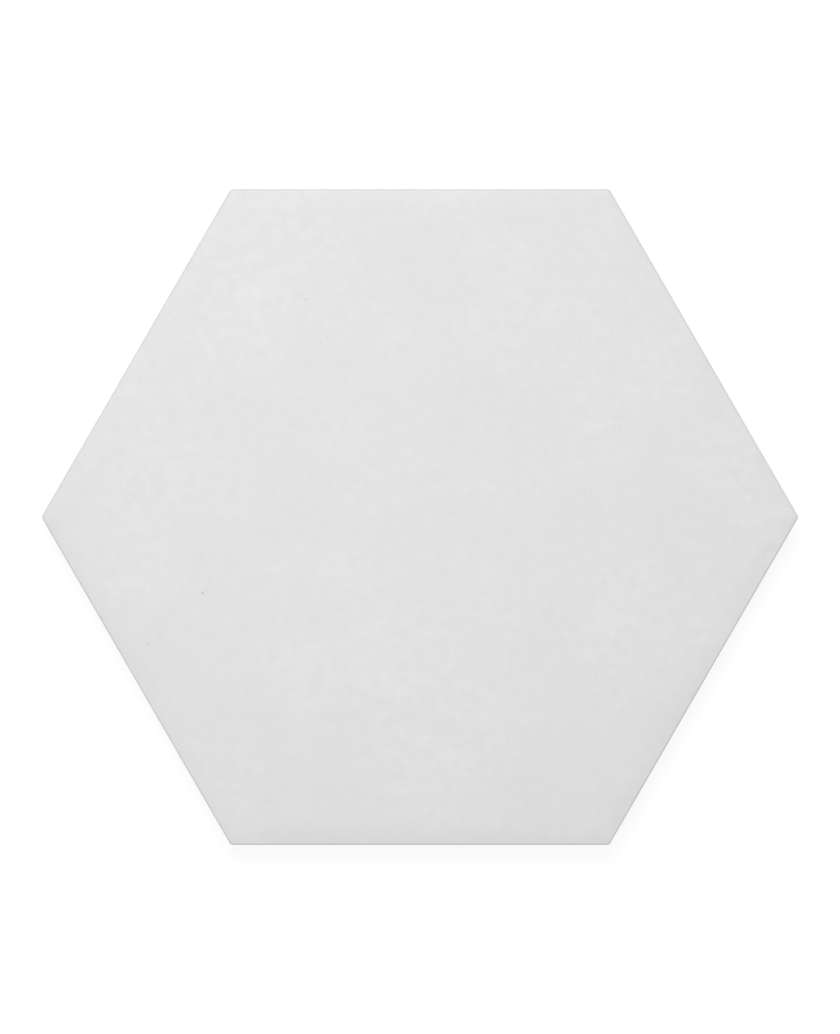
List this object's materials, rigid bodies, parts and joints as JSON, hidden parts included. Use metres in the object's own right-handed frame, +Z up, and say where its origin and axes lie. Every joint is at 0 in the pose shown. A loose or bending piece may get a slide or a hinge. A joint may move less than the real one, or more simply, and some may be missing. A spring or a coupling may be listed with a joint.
{
  "type": "hexagon tile",
  "caption": "Regular hexagon floor and wall tile of pressed porcelain, with a flat matte white face, a cushioned edge, square sides and a honeycomb-keyed back for bedding.",
  "frame": {"origin": "centre of the back, on the plane of its rim and ribs, where the tile lies on its bed", "axes": "+Z up out of the glazed face, +X towards a corner, +Y square to a side"},
  "size_m": [0.1998, 0.1736, 0.009],
  "materials": {
    "matte_white_glaze": "matte white glaze on the face and arris, bare off-white porcelain on the sides and back"
  },
  "bodies": {
    "root": {"hexagon_tile": "matte_white_glaze"}
  },
  "joints": []
}
